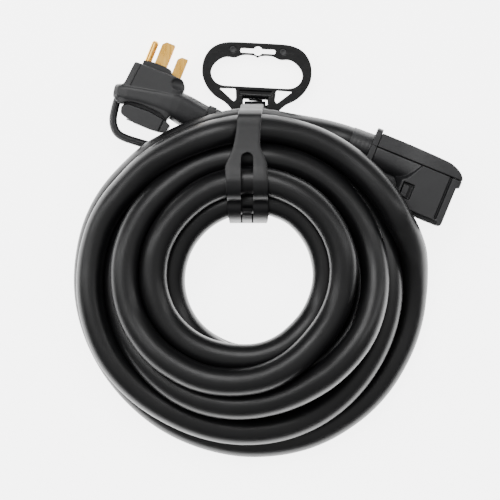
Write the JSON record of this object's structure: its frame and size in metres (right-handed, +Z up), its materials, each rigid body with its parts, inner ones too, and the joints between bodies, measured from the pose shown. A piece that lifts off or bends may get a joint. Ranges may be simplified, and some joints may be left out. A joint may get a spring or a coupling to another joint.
{
  "type": "shore power cord",
  "caption": "Coiled heavy-duty shore power cord for a recreational vehicle, with a right-angle plug, a right-angle connector, a slotted rubber strap and an oval carry handle.",
  "frame": {"origin": "centre of the whole part's footprint, on the surface it lies on", "axes": "+Z up through the coil, +Y towards the carry handle, +X towards the connector"},
  "size_m": [0.3862, 0.4176, 0.1094],
  "materials": {
    "jacket": "satin",
    "housing": "satin, fine moulded texture",
    "face": "matte",
    "gloss": "glossy",
    "strap": "satin",
    "brass": "bright",
    "insulation": "satin",
    "steel": "satin"
  },
  "bodies": {
    "root": {"cable_coil": "jacket", "cable_plug_tail": "jacket", "cable_connector_tail": "jacket", "plug_body": "housing", "plug_back_cover": "housing", "plug_collar": "housing", "plug_pull_handle": "housing", "connector_body": "housing", "connector_cover": "housing", "connector_collar": "housing", "connector_latch": "housing", "plug_face_insert": "face", "connector_face_insert": "face", "strap": "strap", "plug_ground_pin": "brass", "plug_hot_blade_a": "brass", "plug_hot_blade_b": "brass", "plug_neutral_blade": "brass", "connector_ground_contact": "brass", "connector_hot_contact_a": "brass", "connector_hot_contact_b": "brass", "connector_neutral_contact": "brass", "plug_ground_conductor": "insulation", "plug_hot_conductor_a": "insulation", "plug_hot_conductor_b": "insulation", "plug_neutral_conductor": "insulation", "connector_ground_conductor": "insulation", "connector_hot_conductor_a": "insulation", "connector_hot_conductor_b": "insulation", "connector_neutral_conductor": "insulation", "plug_cable_clamp": "steel", "connector_cable_clamp": "steel", "plug_cover_screw_a": "steel", "plug_cover_screw_b": "steel", "connector_cover_screw_a": "steel", "connector_cover_screw_b": "steel"},
    "handle": {"carry_handle": "gloss", "handle_rivet_left": "steel", "handle_rivet_right": "steel"}
  },
  "joints": [
    {"name": "handle_swing", "type": "hinge", "parent": "root", "child": "handle", "pos_m": [-0.0147, 0.1408, 0.007], "axis": [0.9986, -0.0523, 0], "range_deg": [0, 65]}
  ]
}
